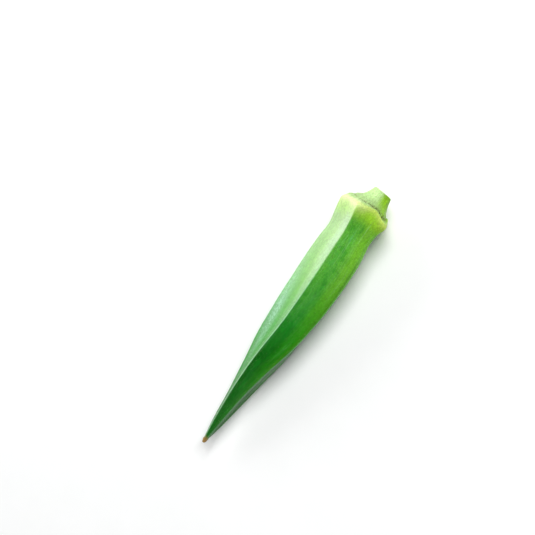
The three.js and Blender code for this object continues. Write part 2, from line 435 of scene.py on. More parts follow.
@dataclass(frozen=True)
class Relief:
    """The skin's fine relief in millimetres, outwards from the solid's surface."""

    form: PodForm
    dent_height: float = 0.045
    fibre_height: float = 0.02
    grain_height: float = 0.012
    seed_height: float = 0.045
    seed_spacing: float = 5.3
    seed_offset: float = 0.37  # from one row of seeds to the next, as a share of the spacing
    crest_height: float = 0.045
    crest_half_width: float = 0.3
    flute_depth: float = 0.03
    flute_away: float = 2.0  # from the ridge to the shallow flute beside it
    flute_half_width: float = 0.9
    cap_height: float = 0.05
    stalk_calm: float = 0.4  # how much lower the cap's wrinkles are on the stalk
    groove_depth: float = 0.2
    groove_half_width: float = 0.24
    groove_stray: float = 0.16
    lip_height: float = 0.13
    lip_away: float = 0.5  # from the groove, towards the beak
    lip_half_width: float = 0.3
    stalk_height: float = 0.06
    tip_height: float = 0.09

    body_end: Span = (-3.0, 1.0)  # past the shoulder
    cap_start: Span = (0.0, 2.0)  # past the shoulder
    stalk_start: Span = (1.0, 4.0)  # past the scar
    beak_span: Span = (1.5, 10.0)  # this and the others, from the tip
    tip_span: Span = (1.0, 4.5)
    seed_start: Span = (14.0, 30.0)
    seed_end: Span = (88.0, 100.0)
    fibre_span: Span = (70.0, 102.0)  # in which the fibres grow stronger
    fibre_base: float = 0.45  # share of their height that they have at the beak
    fibre_gain: float = 0.75  # share that they have gained at the neck

    dents: Waves = Waves(seed=11, count=12, lengths=(16.0, 60.0), turns=(0, 6))
    fibres: Waves = Waves(seed=12, count=22, lengths=(50.0, 200.0), turns=(22, 56))
    grain: Waves = Waves(seed=13, count=24, lengths=(2.0, 8.0), turns=(6, 42))
    wrinkles: Waves = Waves(seed=14, count=14, lengths=(3.0, 14.0), turns=(8, 34))
    ragged: Waves = Waves(seed=15, count=12, lengths=(4.0, 9.0), turns=(4, 40))
    tip_folds: Waves = Waves(seed=16, count=8, lengths=(1.5, 5.0), turns=(2, 7))

    def at(self, place: Array, angle: Array, radius: Array) -> Array:
        """The relief's height: the sum of its forms, each fading out where it ends.

        The body has dents, lengthwise fibres, seeds, crests and flutes, the cap and the stalk
        have wrinkles, the scar has a groove with a ragged lip, and the dry tip has folds.

        Args:
            place: Distances from the tip, one a row.
            angle: Angles round the axis, one a column.
            radius: The skin's radius at each.

        Returns:
            Heights over the solid's surface.
        """
        form = self.form
        sector = form.sector(angle)
        away = np.abs(radius * sector.from_ridge)
        size = radius / form.belly_radius
        past = place - form.shoulder
        body = 1 - smoothstep(past, *self.body_end)
        beak = smoothstep(place, *self.beak_span)
        fibres = self.fibres.at(place, angle)

        height = self.dent_height * self.dents.at(place, angle) * size * body
        strength = self.fibre_base + self.fibre_gain * smoothstep(place, *self.fibre_span)
        height += self.fibre_height * fibres * strength * body * beak
        height += self.grain_height * self.grain.at(place, angle) * beak
        row = 2 * math.pi * (place / self.seed_spacing + self.seed_offset * sector.face)
        locule = (1 - sector.across**2) ** 2 * smoothstep(place, *self.seed_start) * body
        locule = locule * (1 - smoothstep(place, *self.seed_end))
        height += self.seed_height * np.cos(row) * locule
        height += self.crest_height * bump(away, self.crest_half_width) * body * beak
        flute = bump(away - self.flute_away * np.sqrt(size), self.flute_half_width)
        height -= self.flute_depth * flute * body * size

        cap = smoothstep(past, *self.cap_start)
        stalk = smoothstep(place - form.scar, *self.stalk_start)
        wrinkles = self.wrinkles.at(place, angle) * cap * (1 - self.stalk_calm * stalk)
        height += self.cap_height * wrinkles
        line = place - form.scar - self.groove_stray * self.ragged.at(place, angle)
        height -= self.groove_depth * bump(line, self.groove_half_width)
        height += self.lip_height * bump(line + self.lip_away, self.lip_half_width)
        height += self.stalk_height * fibres * stalk
        tip = 1 - smoothstep(place, *self.tip_span)
        return height + self.tip_height * self.tip_folds.at(place, angle) * tip


@dataclass(frozen=True)
class Skin:
    """The pod's skin as a grid of rings and columns, each ring closed round the axis."""

    points: Array  # (rings, columns, 3) in metres
    normals: Array  # outwards, the same shape
    axis: Array  # (rings, 3) the rings' middles, in metres
    place: Array  # (rings, 1) distance from the tip
    angle: Array  # (1, columns) angle round the axis
    away: Array  # (rings, columns) distance from the nearest ridge
    share: Array  # (rings, 1) way along the outline, 0 at the tip and 1 in the cut

    def middle(self, place: float) -> Vector:
        """The point of the pod's axis at a distance from the tip, in metres."""
        return Vector([np.interp(place, self.place[:, 0], row) for row in self.axis.T])

    def sample(self, row: Array, column: Array) -> tuple[Array, Array]:
        """Points of the skin between the grid's own, each from the four around it.

        Args:
            row: Place among the rings, with a fraction.
            column: Place among the columns, with a fraction.

        Returns:
            The points and the unit normals there.
        """
        rings, columns = self.points.shape[:2]
        i = np.clip(row.astype(int), 0, rings - 2)
        j = column.astype(int)
        u, v = (row - i)[..., None], (column - j)[..., None]
        j, k = j % columns, (j + 1) % columns
        found = [
            (1 - u) * ((1 - v) * grid[i, j] + v * grid[i, k])
            + u * ((1 - v) * grid[i + 1, j] + v * grid[i + 1, k])
            for grid in (self.points, self.normals)
        ]
        return found[0], unit(found[1])


@dataclass(frozen=True)
class SkinBuilder:
    """Works out the skin at full fineness, inside the box of the solid that it stands for."""

    form: PodForm
    relief: Relief
    columns_per_ridge: int = 38
    column_crowding: float = 1.45  # over 1 draws the columns together at the ridges
    body_step: float = 0.34  # between rings
    head_step: float = 0.17  # between rings on the shoulder, the cap and the stalk
    head_start: float = 104.0
    press: float = 0.05  # softness with which the underside is pressed flat on the floor

    def rings(self) -> Array:
        """The rings, evenly spaced along each stretch of the outline.

        Returns:
            Rows of place, radius and way along the outline.
        """
        outline = self.form.outline()
        stops = [np.zeros(0)]
        for i, (a, b) in enumerate(zip(outline[:-1], outline[1:])):
            step = self.body_step if a[0] < self.head_start else self.head_step
            count = max(2, math.ceil(np.linalg.norm(b - a) / step))
            stops.append(i + np.arange(count) / count)
        at = np.append(np.concatenate(stops), len(outline) - 1)
        return np.column_stack([catmull_rom(outline, at), at / at[-1]])

    def columns(self) -> Array:
        """Angles of the columns: within a ridge's sector they go as a power of an even spacing.

        Returns:
            The angles, from half a sector before the top ridge on round.
        """
        ridges = self.form.ridges
        u = np.arange(self.columns_per_ridge) * 2 / self.columns_per_ridge - 1
        away = np.sign(u) * np.abs(u) ** self.column_crowding
        turns = (np.arange(ridges)[:, None] + away / 2) / ridges
        return 2 * math.pi * turns.ravel()

    def build(self) -> Skin:
        """Makes the skin: rings of the section on the bent axis, raised along their normals.

        Where it would sink into the floor it is pressed flat: its height z becomes half the sum
        of z and the hypotenuse of z and the softness.

        Returns:
            The skin, in metres and in its place.
        """
        form = self.form
        rings = self.rings()
        place, ridge_radius, share = (rings[:, i : i + 1] for i in range(3))
        angle = self.columns()[None, :]
        radius = form.skin_radius(place, ridge_radius, angle)
        twist = form.twist(place)
        local = np.stack([
            form.rim_shift(place, angle),
            -radius * np.sin(angle + twist),
            radius * np.cos(angle + twist),
        ], -1)
        points = form.bent(place, local)
        points += self.relief.at(place, angle, radius)[..., None] * outward(points)
        z = points[..., 2]
        points[..., 2] = (z + np.hypot(z, self.press)) / 2
        axis = form.bent(place, np.zeros((len(place), 1, 3)))
        placed = fitted(np.concatenate([points, axis], 1) * MM)
        points, axis = placed[:, :-1], placed[:, -1]
        away = np.abs(radius * form.sector(angle).from_ridge)
        return Skin(points, outward(points), axis, place, angle, away, share)


def outward(points: Array) -> Array:
    """Unit normals of a grid of closed rings: the way round crossed with the way along."""
    around = np.roll(points, -1, 1) - np.roll(points, 1, 1)
    return unit(np.cross(around, np.gradient(points, axis=0)))


def fitted(points: Array) -> Array:
    """Sets the skin in the solid's box, so that both reach the same planes.

    Args:
        points: Points in metres, within a hair of the right size.

    Returns:
        The points, shifted and drawn out or in evenly along each axis to fill the box.
    """
    low, high = (np.array(corner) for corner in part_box(NODE))
    flat = points.reshape(-1, 3)
    start, end = flat.min(0), flat.max(0)
    return low + (points - start) * (high - low) / (end - start)


# ---- Meshes ----


def new_object(
    name: str, vertices: Array, faces: Sequence[Array], material: bpy.types.Material
) -> Object:
    """Puts a mesh into the scene, at the origin.

    Args:
        name: The piece's name.
        vertices: (n, 3) in metres.
        faces: Arrays of faces, each with as many corners as it has columns.
        material: Its finish.

    Returns:
        The new object, smoothly shaded.
    """
    mesh = bpy.data.meshes.new(name)
    mesh.from_pydata(vertices.tolist(), [], [face for part in faces for face in part.tolist()])
    mesh.polygons.foreach_set("use_smooth", np.ones(len(mesh.polygons), bool))
    mesh.validate()
    mesh.materials.append(material)
    made = bpy.data.objects.new(name, mesh)
    bpy.context.scene.collection.objects.link(made)
    return made


def set_attribute(piece: Object, name: str, values: Array) -> None:
    """Gives each vertex a number or a vector that the material reads.

    Args:
        piece: The piece.
        name: The attribute's name.
        values: (n,) numbers or (n, 3) vectors.
    """
    kind, key = ("FLOAT", "value") if values.ndim == 1 else ("FLOAT_VECTOR", "vector")
    made = piece.data.attributes.new(name, kind, "POINT")
    made.data.foreach_set(key, values.astype(np.float32).ravel())


def quads(index: Array, beside: Array) -> Array:
    """Quads between a grid of vertex numbers and the one beside it, row by row."""
    corners = (index[..., :-1, :], beside[..., :-1, :], beside[..., 1:, :], index[..., 1:, :])
    return np.stack(corners, -1).reshape(-1, 4)


def ring_faces(rings: int, columns: int) -> list[Array]:
    """Faces of a closed grid of rings, with a point after them closing each end.

    Args:
        rings: Number of rings.
        columns: Vertices in each.

    Returns:
        The quads between rings, and the triangles of the two ends.
    """
    index = np.arange(rings * columns).reshape(rings, columns)
    after = np.roll(index, -1, 1)
    first, last = rings * columns, rings * columns + 1
    start = np.stack([np.full(columns, first), after[0], index[0]], -1)
    end = np.stack([np.full(columns, last), index[-1], after[-1]], -1)
    return [quads(index, after), start, end]


# ---- Shader nodes ----


@dataclass(frozen=True)
class Value:
    """A number that a material works out, with Python's operators adding Math nodes."""

    shader: "Shader"
    socket: Socket

    def math(self, operation: str, *others: Any) -> "Value":
        """The result of a Math node with this value first, then the others."""
        return self.shader.math(operation, self, *others)

    def __add__(self, other: Any) -> "Value":
        """This plus other."""
        return self.math("ADD", other)

    __radd__ = __add__

    def __mul__(self, other: Any) -> "Value":
        """This times other."""
        return self.math("MULTIPLY", other)

    __rmul__ = __mul__

    def __sub__(self, other: Any) -> "Value":
        """This less other."""
        return self.math("SUBTRACT", other)

    def __rsub__(self, other: Any) -> "Value":
        """Other less this."""
        return self.shader.math("SUBTRACT", other, self)

    def __truediv__(self, other: Any) -> "Value":
        """This over other."""
        return self.math("DIVIDE", other)

    def wander(self, reach: float) -> "Value":
        """This noise of 0 to 1 moved to lie about nought, and wandering over the reach."""
        return (self - 0.5) * reach

    def bell(self, middle: Any, half_width: Any) -> "Value":
        """A rounded bump, exp(-((this - middle) / half width) squared): 1 at the middle."""
        off = (self - middle) / half_width
        return (0 - off * off).math("EXPONENT")

    def step(self, low: Any, high: Any) -> "Value":
        """A smooth step of this value, from 0 at low to 1 at high, or back if high is less.

        Args:
            low: Where it starts from 0.
            high: Where it reaches 1.

        Returns:
            The step.
        """
        inputs = {"Value": self, "From Min": low, "From Max": high}
        made = self.shader.node("ShaderNodeMapRange", inputs, interpolation_type="SMOOTHSTEP")
        return Value(self.shader, made.outputs["Result"])


class Shader:
    """One material's node tree while it is being built."""

    def __init__(self, name: str) -> None:
        """Starts an empty material.

        Args:
            name: The material's name.
        """
        self.material = bpy.data.materials.new(name)
        self.material.use_nodes = True
        self.tree = self.material.node_tree
        self.tree.nodes.clear()

    def node(
        self, kind: str, inputs: Mapping[str | int, Any] | None = None, **settings: Any
    ) -> bpy.types.Node:
        """Adds one node.

        Args:
            kind: The node's type.
            inputs: Numbers, colours or links for its sockets, by name, identifier or number.
            settings: Its own settings, set first. Stops are a colour ramp's (place, colour).

        Returns:
            The node.
        """
        made = self.tree.nodes.new(kind)
        for name, value in settings.items():
            if name == "stops":
                self._set_stops(made.color_ramp, value)
            else:
                setattr(made, name, value)
        for name, value in (inputs or {}).items():
            socket = self._socket(made, name)
            if isinstance(value, Value):
                self.tree.links.new(value.socket, socket)
            elif isinstance(value, Socket):
                self.tree.links.new(value, socket)
            else:
                socket.default_value = value
        return made

    @staticmethod
    def _socket(node: bpy.types.Node, name: str | int) -> Socket:
        """The input socket with this identifier, number or name."""
        exact = [s for s in node.inputs if s.identifier == name]
        return exact[0] if exact else node.inputs[name]

    @staticmethod
    def _set_stops(ramp: bpy.types.ColorRamp, stops: Sequence[tuple[float, Colour]]) -> None:
        """Sets a colour ramp's stops.

        Args:
            ramp: The ramp.
            stops: Each stop's place and colour.
        """
        while len(ramp.elements) < len(stops):
            ramp.elements.new(1.0)
        for element, (place, colour) in zip(ramp.elements, stops):
            element.position = place
            element.color = (*colour, 1.0)

    def math(self, operation: str, *values: Any) -> Value:
        """The result of a Math node on these numbers and values."""
        node = self.node("ShaderNodeMath", dict(enumerate(values)), operation=operation)
        return Value(self, node.outputs[0])

    def mix(self, share: Any, first: Any, second: Any, blend: str = "MIX") -> Socket:
        """Mixes two colours.

        Args:
            share: How much of the second, 0 to 1.
            first: The first colour, as three numbers or a link.
            second: The second colour.
            blend: How they are put together.

        Returns:
            The mixed colour.
        """
        sides = {"A_Color": first, "B_Color": second}
        inputs = {key: (*c, 1.0) if isinstance(c, tuple) else c for key, c in sides.items()}
        settings = {"data_type": "RGBA", "blend_type": blend, "clamp_factor": True}
        node = self.node("ShaderNodeMix", {"Factor_Float": share, **inputs}, **settings)
        return next(s for s in node.outputs if s.identifier == "Result_Color")

    def attribute(self, name: str, output: str = "Fac") -> Socket:
        """One of the mesh's own attributes, as a number or, from the output Vector, a vector."""
        return self.node("ShaderNodeAttribute", attribute_name=name).outputs[output]

    def number(self, name: str) -> Value:
        """One of the mesh's own attributes, as a number."""
        return Value(self, self.attribute(name))

    def metres(self) -> Socket:
        """A point's place on its piece, in metres."""
        return self.node("ShaderNodeTexCoord").outputs["Object"]

    def grey(self, value: Value) -> Socket:
        """A grey of this brightness."""
        inputs = {"Red": value, "Green": value, "Blue": value}
        return self.node("ShaderNodeCombineColor", inputs).outputs["Color"]

    def scaled(self, vector: Socket, scale: Triple) -> Socket:
        """A vector with each of its numbers multiplied by its own scale."""
        inputs = {0: vector, 1: scale}
        return self.node("ShaderNodeVectorMath", inputs, operation="MULTIPLY").outputs[0]

    def noise(
        self, vector: Socket, scale: Triple, detail: float = 2.0, roughness: float = 0.5
    ) -> Value:
        """Cloudy noise of about 0 to 1.

        Args:
            vector: The coordinates.
            scale: Patches to a unit of each coordinate.
            detail: How many finer layers it has.
            roughness: How strong they are.

        Returns:
            The noise.
        """
        scaled = self.scaled(vector, scale)
        inputs = {"Vector": scaled, "Scale": 1.0, "Detail": detail, "Roughness": roughness}
        return Value(self, self.node("ShaderNodeTexNoise", inputs).outputs["Fac"])

    def finish(self, inputs: Mapping[str, Any]) -> bpy.types.Material:
        """Ends the material with the shader that its surface shows.

        Args:
            inputs: The Principled shader's numbers, colours and links, by its sockets' names.

        Returns:
            The finished material.
        """
        surface = self.node("ShaderNodeBsdfPrincipled", inputs).outputs[0]
        self.node("ShaderNodeOutputMaterial", {"Surface": surface})
        return self.material


def srgb(code: str) -> Colour:
    """A colour in linear light, from the six hexadecimal digits that a screen would show."""
    parts = (int(code[i : i + 2], 16) / 255 for i in (0, 2, 4))
    return tuple(p / 12.92 if p <= 0.04045 else ((p + 0.055) / 1.055) ** 2.4 for p in parts)


# ---- Finishes ----


class SkinPattern:
    """What the skin's material reads at a point: its place on the pod, noises and regions."""

    def __init__(self, shader: Shader, form: PodForm) -> None:
        """Adds the nodes that read the skin's attributes and make its noises and regions.

        Args:
            shader: The skin's shader.
            form: The pod's form, whose places bound the regions.
        """
        self.shader = shader
        self.grown = grown = shader.attribute("grown", "Vector")
        split = shader.node("ShaderNodeSeparateXYZ", {"Vector": grown})
        self.place = Value(shader, split.outputs["X"])  # distance from the tip
        self.away = shader.number("away")  # distance from the nearest ridge
        self.across = shader.number("across")  # -1 to 1 across the face
        self.lit_side = shader.number("lit_side")  # 0 on the side away from the key light to 1 on the side turned to it, carrying painted light and shade
        self.knob = shader.number("knob")  # 1 over a ridge to 0 between two
        self.wax_and_sheen = shader.number("wax_and_sheen")  # 0 bare to 1 thick: the waxy coat and the painted sheen on it, fullest on the key-lit face
        self.cut = shader.number("cut")  # 1 on the cut end

        space = shader.scaled(shader.metres(), (1 / MM, 1 / MM, 1 / MM))
        self.patches = shader.noise(grown, (0.07, 0.2, 0.2), 3.0, 0.6)
        self.clouds = shader.noise(grown, (0.16, 0.34, 0.34), 4.0, 0.7)
        self.streaks = shader.noise(grown, (0.05, 1.5, 1.5), 3.0, 0.7)
        self.fibres = shader.noise(grown, (0.16, 3.6, 3.6), 2.0, 0.6)
        self.mottle = shader.noise(grown, (0.6, 1.2, 1.2), 3.0, 0.8)
        self.speckle = shader.noise(space, (1.6, 1.6, 1.6), 3.0, 0.75)
        self.pores = shader.noise(space, (5.5, 5.5, 5.5), 1.0)

        self.grain = self.speckle.step(0.4, 0.6)  # speckle with its contrast raised
        self.head = self.place.step(66.0, 104.0)  # 0 on the body to 1 at the shoulder
        self.key_lit = key_lit = self.lit_side.step(0.5, 0.95)  # 1 on the head's key-lit side: there the rim is painted paler, a partly painted highlight, and the scar ring thinner
        self.edge = self.place + self.clouds.wander(2.2)  # the place, wandering with the clouds
        brink = form.shoulder + 0.6
        half_width = 1.6 + self.knob * 0.8 + key_lit * 0.3
        self.rim = self.edge.bell(brink - self.knob * 0.3, half_width)
        self.cap = self.edge.step(brink, brink + 1.6)  # 1 on the cap and the stalk
        self.tip = (self.place + self.speckle.wander(3.0)).step(3.4, 1.2)  # 1 on the dry tip


@dataclass(frozen=True)
class SkinFinish:
    """The pod's skin: waxy and green, pale at the rim, the ridges and the cap, partly by painted
    light and shade.

    A span is two places along the pod: where a change starts and where it is complete. A band
    is a stretch's middle and half width. Both are in millimetres from the tip.
    """

    form: PodForm
    # the darkest greens lie towards the beak: the skin's own green, deepened by painted shade
    beak: Colour = srgb("0f5c12")
    low: Colour = srgb("006204")
    deep: Colour = srgb("148018")
    body: Colour = srgb("3e962e")
    neck: Colour = srgb("55a92e")
    blue: Colour = srgb("3a9a40")
    yellow: Colour = srgb("74b626")
    lime: Colour = srgb("2a9608")
    olive: Colour = srgb("3f7a10")
    # the ridges' pale line, brightened into a painted highlight beside the key-lit face
    crest_and_highlight: Colour = srgb("b8eac0")
    # a pale waxy veil with painted sheen, laid over the key-lit face
    wax_and_sheen: Colour = srgb("c6cf9c")
    # painted highlight: a whitish band beside the ridge of the key-lit face, dimmer towards the
    # beak
    bloom_highlight: Colour = srgb("bdd8c8")
    highlight_haze: Colour = srgb("a8c8aa")
    # painted sheen: a grainy whitish band across the lower key-lit face
    frost_sheen: Colour = srgb("b9e2cf")
    # the rim's pale lip, partly painted highlight on the key-lit side, with the knob colour away
    # from it
    rim: Colour = srgb("d2e595")
    knob: Colour = srgb("b2ca56")
    under: Colour = srgb("9ad02a")
    cap: Colour = srgb("9ebf7a")
    stalk: Colour = srgb("bce096")
    # painted shade: the green of the cap and the stalk on their side away from the key light
    painted_shade_green: Colour = srgb("88bf14")
    scar: Colour = srgb("4f5a18")
    dry: Colour = srgb("9a7b45")
    pith: Colour = srgb("dfe9b4")

    ages: tuple[float, ...] = (0.1, 0.42, 0.56, 0.68, 0.82)  # of beak, low, deep, body and neck
    lit_face_lighter_span: Span = (64.0, 34.0)  # in which the key-lit, waxy face is painted lighter, to the beak
    fresh_span: Span = (50.0, 92.0)
    lime_band: Span = (60.0, 24.0)
    lime_strength: float = 0.65
    # where the pale waxy veil with painted sheen lies
    wax_and_sheen_span: Span = (62.0, 108.0)
    wax_and_sheen_strength: float = 0.36
    inner_span: Span = (92.0, 62.0)  # in which the painted highlight's inner edge draws in to the ridge
    bloom_highlight_band: Span = (86.0, 36.0)
    bloom_highlight_strength: float = 0.4
    highlight_haze_span: Span = (78.0, 98.0)
    frost_sheen_band: Span = (60.0, 20.0)
    frost_sheen_start: float = 78.0  # from here to the beak the painted sheen drifts in from a face's edge
    frost_sheen_drift: float = 46.0  # length in which it crosses half the face
    margin_span: Span = (86.0, 102.0)
    margin_band: Span = (0.93, 0.13)  # across the face
    crest_half_width: float = 0.22
    crest_full: float = 55.0  # from here the crests fade towards the shoulder
    crest_strength: float = 0.7
    rim_strength: float = 0.95
    coat_span: Span = (25.0, 112.0)

    def material(self) -> bpy.types.Material:
        """Builds the material: one colour laid over another, then all of them mottled.

        Returns:
            The skin's material, which reads the skin's attributes.
        """
        shader = Shader("pod_skin")
        at = SkinPattern(shader, self.form)
        colour = self._ground_and_painted_light(at)
        for layers in (self._greens, self._wax_and_painted_sheens, self._lines, self._head, self._marks):
            for share, over in layers(at):
                colour = shader.mix(share, colour, over)
        shade = 0.52 + at.grain * 0.26 + at.pores * 0.14 + at.mottle * 0.6
        rough = 0.34 + at.speckle.wander(0.22) + at.rim * 0.08 + at.cap * 0.12
        height = at.speckle * 0.5 + at.pores * 0.25 + at.fibres * (0.2 + at.head * 0.5)
        relief = {"Strength": 0.35, "Distance": 0.12 * MM, "Height": height}
        coat = 0.08 + at.wax_and_sheen * (0.84 - at.cap * 0.74)
        return shader.finish({
            "Base Color": shader.mix(1.0, colour, shader.grey(shade), "MULTIPLY"),
            "Roughness": rough + at.cut * 0.25 + at.tip * 0.3,
            "Normal": shader.node("ShaderNodeBump", relief).outputs["Normal"],
            "IOR": 1.3,
            "Subsurface Weight": 0.08,
            "Subsurface Radius": (0.6, 1.0, 0.25),
            "Subsurface Scale": 1.2 * MM,
            "Coat Weight": at.place.step(*self.coat_span) * coat,
            "Coat Roughness": 0.32,
            "Sheen Weight": 0.04,
            "Sheen Roughness": 0.4,
            "Sheen Tint": (0.85, 1.0, 0.8, 1.0),
        })

    def _ground_and_painted_light(self, at: SkinPattern) -> Socket:
        """The ground colour, ripening towards the neck, with painted shade on the beak half and
        painted light on the key-lit, waxy side.

        Args:
            at: What the material reads.

        Returns:
            The colour of the skin's age: its share of the way to the shoulder, with patches.
        """
        # the key-lit side and the waxy face come out lighter: partly grown colour, partly painted
        # light
        age = at.place / self.form.shoulder + at.patches.wander(0.16) + (at.lit_side - 0.54) * 0.22
        age = age + at.wax_and_sheen * at.place.step(*self.lit_face_lighter_span) * 0.15
        stops = tuple(zip(self.ages, (self.beak, self.low, self.deep, self.body, self.neck)))
        return at.shader.node("ShaderNodeValToRGB", {"Fac": age}, stops=stops).outputs["Color"]

    def _greens(self, at: SkinPattern) -> Layers:
        """Clouds of bluer and deeper green, and yellower greens to one side of each face.

        Args:
            at: What the material reads.

        Yields:
            The share and colour of each layer, the lowest first.
        """
        fresh = at.place.step(*self.fresh_span)
        side = (at.across + at.clouds.wander(0.8)).step(-0.3, 0.5)
        yield at.clouds.step(0.48, 0.66) * fresh * (0.45 - at.wax_and_sheen * 0.3), self.blue
        yield at.clouds.step(0.5, 0.38) * (0.46 - at.wax_and_sheen * 0.2), self.deep
        yield side * at.place.bell(*self.lime_band) * self.lime_strength, self.lime
        yield side * (0.02 + fresh * 0.7), self.yellow

    def _wax_and_painted_sheens(self, at: SkinPattern) -> Layers:
        """A waxy veil with painted sheen, a painted highlight by the ridge, and painted sheen that
        drifts across lower down.

        Args:
            at: What the material reads.

        Yields:
            The share and colour of each layer, the lowest first.
        """
        # painted sheen: a pale waxy veil over the key-lit face
        yield at.wax_and_sheen * at.place.step(*self.wax_and_sheen_span) * self.wax_and_sheen_strength, self.wax_and_sheen
        # painted highlight beside the ridge of the key-lit face
        inner = at.place.step(*self.inner_span) * 0.55 - 0.1
        bloom_highlight = (at.across + at.fibres.wander(0.5)).step(inner, 0.8 + inner * 0.2)
        bloom_highlight = bloom_highlight * at.wax_and_sheen * at.place.bell(*self.bloom_highlight_band)
        faded = at.shader.mix(at.place.step(*self.highlight_haze_span), self.highlight_haze, self.bloom_highlight)
        yield bloom_highlight * self.bloom_highlight_strength, faded
        # painted sheen, grainy, drifting across the lower key-lit face
        middle = (self.frost_sheen_start - at.place) / self.frost_sheen_drift - 0.85
        frost_sheen = (at.across + at.streaks.wander(0.6)).bell(middle, 0.5)
        frost_sheen = frost_sheen * at.place.bell(*self.frost_sheen_band) * at.wax_and_sheen
        yield frost_sheen * (0.18 + at.grain * 0.3), self.frost_sheen

    def _lines(self, at: SkinPattern) -> Layers:
        """What runs lengthwise: streaks, fibres, each face's dark margin and the pale crests,
        brightened by painted highlight beside the key-lit face.

        Args:
            at: What the material reads.

        Yields:
            The share and colour of each layer, the lowest first.
        """
        yield at.streaks.step(0.5, 0.7) * (0.05 + at.head * 0.08), self.crest_and_highlight
        yield at.fibres.step(0.5, 0.72) * (0.04 + at.head * 0.05), self.rim
        margin = at.across.bell(*self.margin_band) * at.away.step(0.15, 0.6) * (1.0 - at.wax_and_sheen)
        yield margin * (0.75 - at.place.step(*self.margin_span) * 0.55), self.olive
        crest_and_highlight = at.away.bell(0.0, self.crest_half_width) * self.crest_strength
        crest_and_highlight = crest_and_highlight * at.place.step(self.form.shoulder, self.crest_full)
        # the pale line on each ridge, brightened into a painted highlight beside the key-lit face
        yield crest_and_highlight * (0.6 + at.streaks * 0.6) * (0.3 + at.wax_and_sheen * 1.1), self.crest_and_highlight

    def _head(self, at: SkinPattern) -> Layers:
        """A yellow-green band, the creamy rim with its greener knobs, the cap and the stalk, paler
        as painted light towards the key light and painted shade away from it.

        Args:
            at: What the material reads.

        Yields:
            The share and colour of each layer, the lowest first.
        """
        shoulder, scar, cut = self.form.shoulder, self.form.scar, self.form.cut
        yield at.edge.bell(shoulder - 1.8, 3.0) * (0.85 - at.key_lit * 0.3), self.under
        # the rim: pale on the key-lit side, partly painted highlight, and greener knobs away from
        # it
        yield at.rim * self.rim_strength, at.shader.mix(at.key_lit, self.knob, self.rim)
        # painted light and shade: the cap is pale on the key-lit side and shade green away from it
        yield at.cap, at.shader.mix(at.lit_side.step(0.15, 0.75), self.painted_shade_green, self.cap)
        # painted light and shade: the stalk is pale on the key-lit side and shade green away from
        # it
        pale = (at.lit_side + at.streaks.wander(0.35)).step(0.43, 0.77)
        stalk = at.shader.mix(pale, self.painted_shade_green, self.stalk)
        yield at.place.step(scar + 0.8, cut - 2.0), stalk

    def _marks(self, at: SkinPattern) -> Layers:
        """The scar's dark, broken ring, scratches and a dried edge, the pith and the dry tip, the
        ring and edge real but darkened by painted shade away from the key light.

        Args:
            at: What the material reads.

        Yields:
            The share and colour of each layer, the lowest first.
        """
        scar, cut = self.form.scar, self.form.cut
        frayed = at.place + at.fibres.wander(1.6) + at.speckle.wander(1.2)
        # a real scar ring, made wider and darker away from the key light as painted shade
        ring = frayed.bell(scar + 0.4 - at.key_lit * 0.4, 1.1 - at.key_lit * 0.75)
        broken = at.shader.noise(at.grown, (0.8, 1.3, 1.3)).step(0.44, 0.56)
        yield ring * (0.04 + broken * (1.15 - at.key_lit)), self.scar
        scratches = at.shader.noise(at.grown, (1.1, 0.5, 1.4), 3.0, 0.7)
        worn = scratches.bell(0.5, 0.012) * at.place.step(scar, scar + 1.0)
        # a real dried edge, made browner away from the key light as painted shade
        dried = (at.place + at.fibres.wander(1.5)).step(cut - 1.3, cut) * (1.1 - at.key_lit)
        yield worn * 0.6 + dried * 0.3, self.scar
        yield at.cut * (0.55 + at.pores * 0.5), self.pith
        yield at.tip, self.dry


@dataclass(frozen=True)
class DownFinish:
    """The down: clear, pale hairs, greener at the root."""

    root: Colour = srgb("a9d47c")
    end: Colour = srgb("f2f8e2")

    def material(self) -> bpy.types.Material:
        """Builds the material, which reads how far up its hair a point is."""
        shader = Shader("pod_down")
        return shader.finish({
            "Base Color": shader.mix(shader.attribute("up"), self.root, self.end),
            "Roughness": 0.45,
            "IOR": 1.5,
            "Transmission Weight": 0.25,
        })


@dataclass(frozen=True)
class FibreFinish:
    """Dry fibres: brown, streaked along their length."""

    light: Colour = srgb("a79a55")
    dark: Colour = srgb("5d4f24")

    def material(self) -> bpy.types.Material:
        """Builds the material.

        Returns:
            The fibres' material.
        """
        shader = Shader("scar_fibres")
        streaks = shader.noise(shader.metres(), (900.0, 900.0, 2500.0), 3.0)
        colour = shader.mix(streaks.step(0.35, 0.65), self.dark, self.light)
        return shader.finish({"Base Color": colour, "Roughness": 0.75})


@dataclass(frozen=True)
class FloorFinish:
    """The studio floor: matt and nearly white, with the faintest grain."""

    pale: Colour = (0.89, 0.9, 0.89)
    paler: Colour = (0.93, 0.93, 0.93)

    def material(self) -> bpy.types.Material:
        """Builds the material.

        Returns:
            The floor's material.
        """
        shader = Shader("studio_floor")
        grain = shader.noise(shader.metres(), (60.0, 60.0, 60.0), 4.0)
        colour = shader.mix(grain, self.pale, self.paler)
        return shader.finish({"Base Color": colour, "Roughness": 0.8})


# ---- Pieces ----


